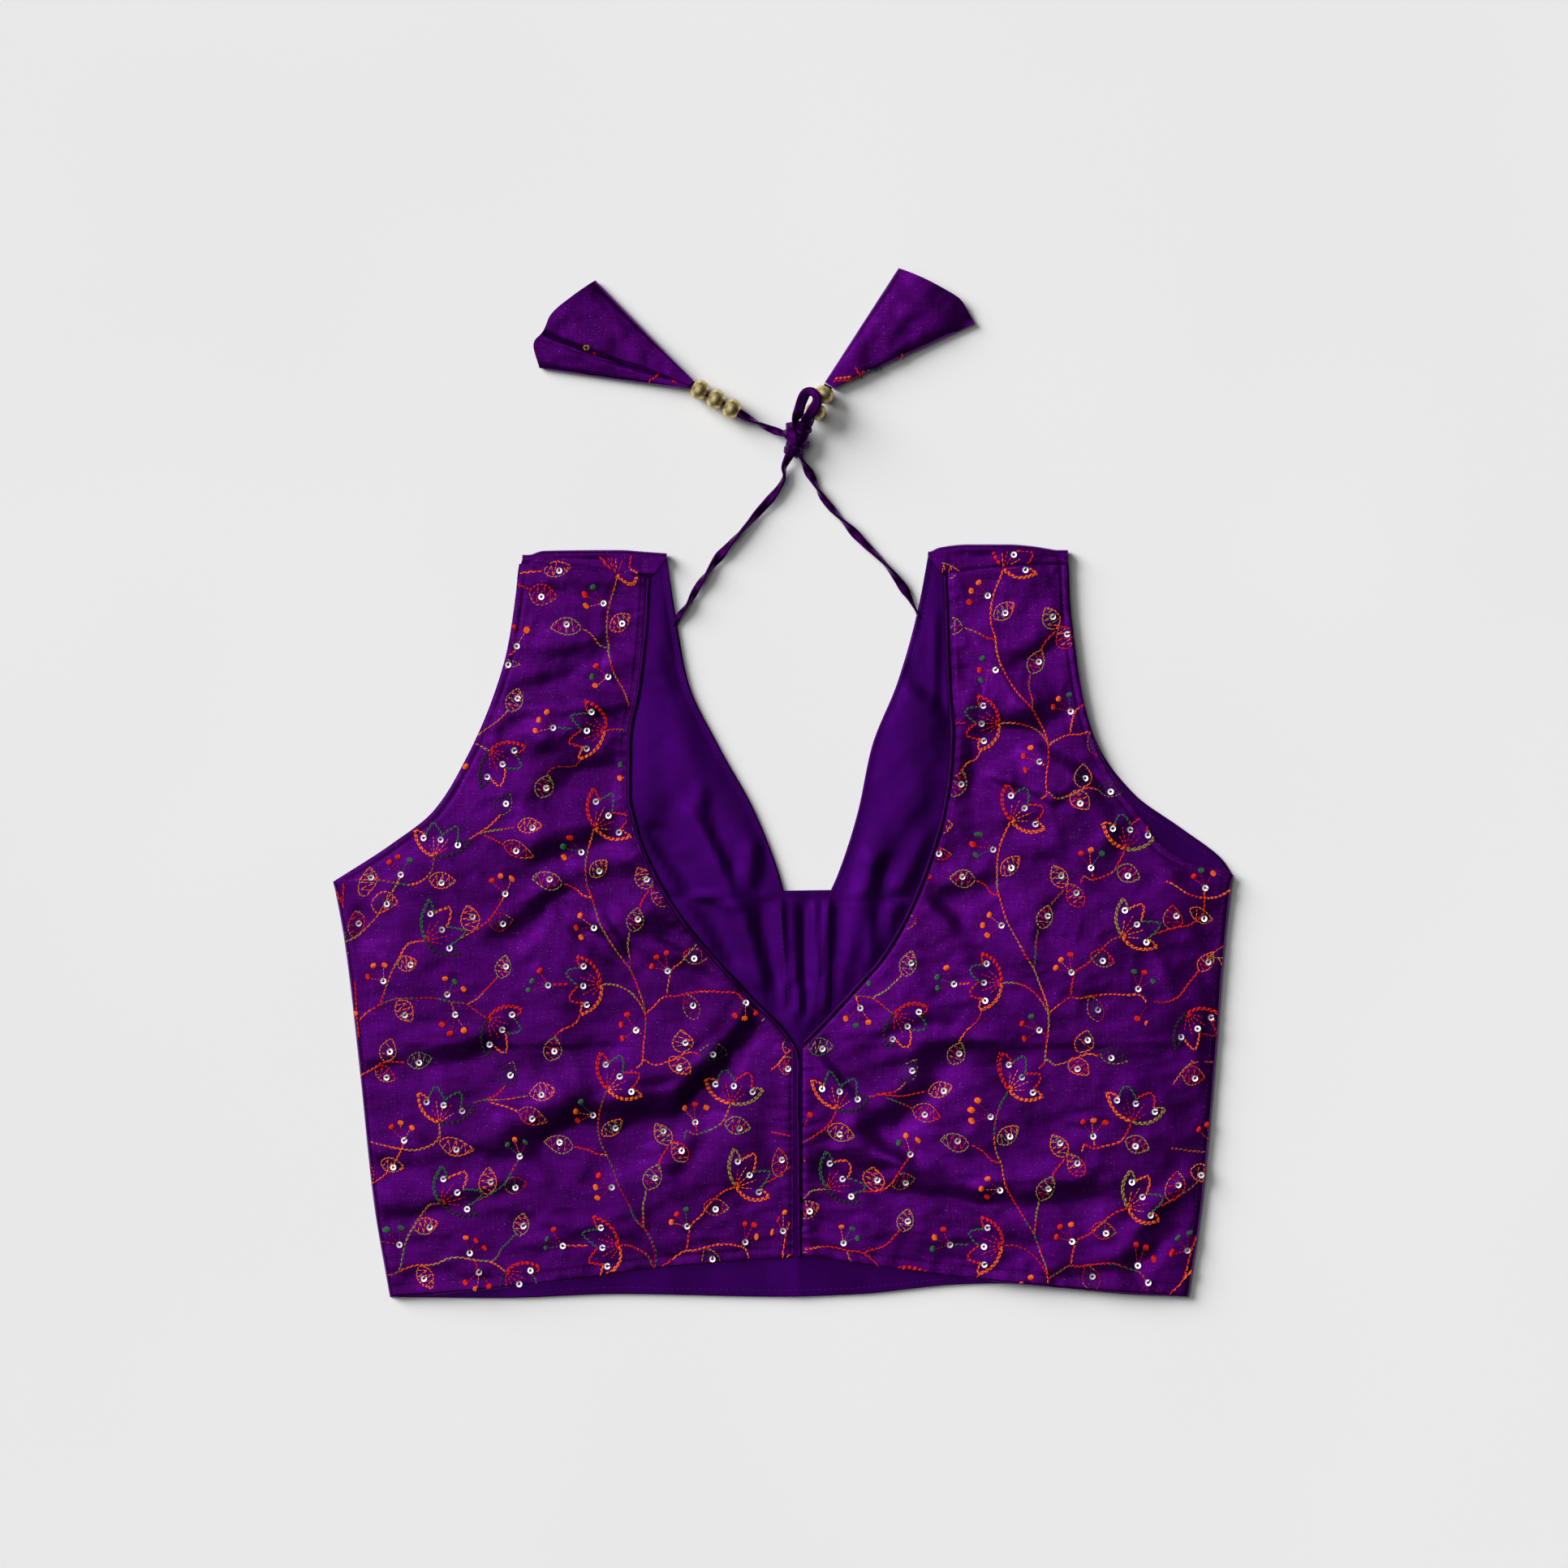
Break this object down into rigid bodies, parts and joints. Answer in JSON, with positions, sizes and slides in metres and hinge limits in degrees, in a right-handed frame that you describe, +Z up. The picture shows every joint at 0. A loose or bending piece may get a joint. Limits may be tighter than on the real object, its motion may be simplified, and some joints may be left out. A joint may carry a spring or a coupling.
{
  "type": "choli blouse",
  "caption": "Sleeveless choli blouse laid flat, front up: two embroidered satin fronts with a deep V neck, a plain lining, and two neck ties knotted above it with beads and cloth tassels.",
  "frame": {"origin": "middle of the blouse's outline without its ties, on the surface that it lies on", "axes": "+X to the viewer's right across the front, +Y up the garment from hem to shoulders, +Z up off the surface"},
  "size_m": [0.4504, 0.5159, 0.0151],
  "materials": {
    "satin": "slubbed satin, embroidered",
    "lining": "plain smooth lining",
    "piping": "plain satin binding",
    "tie": "plain satin",
    "bead": "antique gold"
  },
  "bodies": {
    "root": {"back_panel": "satin", "back_lining": "lining", "front_left": "satin", "front_right": "satin", "piping_left": "piping", "piping_right": "piping", "tie_left": "tie", "tie_left_end": "tie", "tie_right": "tie", "bow_loop": "tie", "tie_right_end": "tie", "knot": "tie", "bead_left_1": "bead", "bead_left_2": "bead", "bead_left_3": "bead", "bead_right_1": "bead", "bead_right_2": "bead", "tassel_left": "satin", "tassel_right": "satin"}
  },
  "joints": []
}
